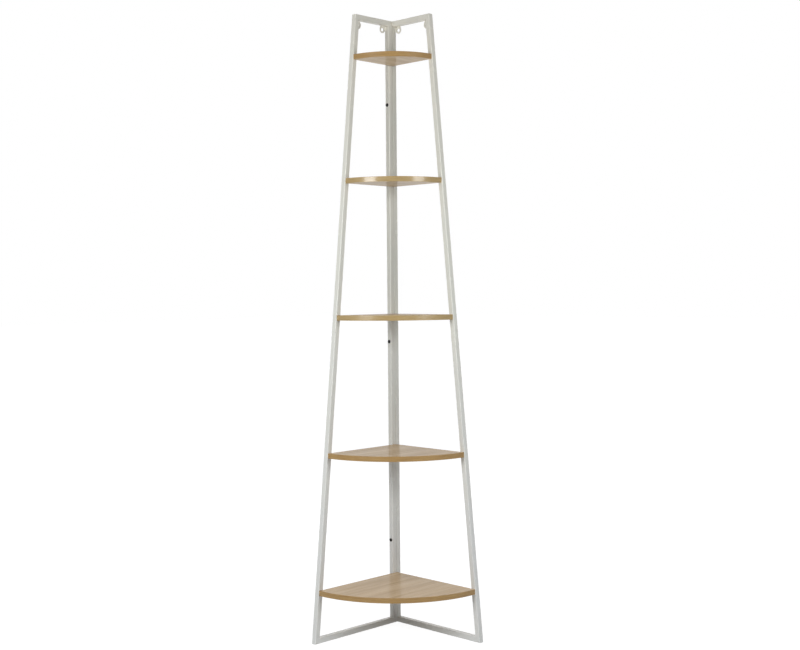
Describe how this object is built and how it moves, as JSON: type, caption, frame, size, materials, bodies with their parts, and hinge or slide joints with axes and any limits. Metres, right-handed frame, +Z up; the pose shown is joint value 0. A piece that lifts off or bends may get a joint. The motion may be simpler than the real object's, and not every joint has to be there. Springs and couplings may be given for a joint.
{
  "type": "corner shelf unit",
  "caption": "Tall quarter-round corner shelf: wood-look boards between leaning white tube frames that stand in a room corner.",
  "frame": {"origin": "on the floor, at the centre of the square that the unit stands in", "axes": "+Z up; the left frame stands along the wall at -X and the right frame along the wall at +Y, as seen from the room, so the room's corner is at -X +Y"},
  "size_m": [0.345, 0.345, 1.8],
  "materials": {
    "frame_coat": "satin white powder coat",
    "board_face": "satin wood-look facing",
    "edge_band": "satin golden wood-look edge band",
    "black_bolt": "black, satin",
    "zinc_steel": "zinc plated"
  },
  "bodies": {
    "root": {"left_rear_upright": "frame_coat", "left_top_rail": "frame_coat", "left_front_leg": "frame_coat", "left_bottom_rail": "frame_coat", "left_rear_wall_eye": "frame_coat", "left_front_wall_eye": "frame_coat", "right_rear_upright": "frame_coat", "right_top_rail": "frame_coat", "right_front_leg": "frame_coat", "right_bottom_rail": "frame_coat", "right_rear_wall_eye": "frame_coat", "right_front_wall_eye": "frame_coat", "frame_bolt_1": "black_bolt", "frame_bolt_2": "black_bolt", "frame_bolt_3": "black_bolt", "frame_nut_1": "zinc_steel", "frame_nut_2": "zinc_steel", "frame_nut_3": "zinc_steel", "shelf_1_board": "board_face", "shelf_1_front_band": "edge_band", "shelf_1_left_band": "edge_band", "shelf_1_right_band": "edge_band", "shelf_1_rear_screw": "zinc_steel", "shelf_1_left_screw": "zinc_steel", "shelf_1_right_screw": "zinc_steel", "shelf_2_board": "board_face", "shelf_2_front_band": "edge_band", "shelf_2_left_band": "edge_band", "shelf_2_right_band": "edge_band", "shelf_2_rear_screw": "zinc_steel", "shelf_2_left_screw": "zinc_steel", "shelf_2_right_screw": "zinc_steel", "shelf_3_board": "board_face", "shelf_3_front_band": "edge_band", "shelf_3_left_band": "edge_band", "shelf_3_right_band": "edge_band", "shelf_3_rear_screw": "zinc_steel", "shelf_3_left_screw": "zinc_steel", "shelf_3_right_screw": "zinc_steel", "shelf_4_board": "board_face", "shelf_4_front_band": "edge_band", "shelf_4_left_band": "edge_band", "shelf_4_right_band": "edge_band", "shelf_4_rear_screw": "zinc_steel", "shelf_4_left_screw": "zinc_steel", "shelf_4_right_screw": "zinc_steel", "shelf_5_board": "board_face", "shelf_5_front_band": "edge_band", "shelf_5_left_band": "edge_band", "shelf_5_right_band": "edge_band", "shelf_5_rear_screw": "zinc_steel", "shelf_5_left_screw": "zinc_steel", "shelf_5_right_screw": "zinc_steel"}
  },
  "joints": []
}
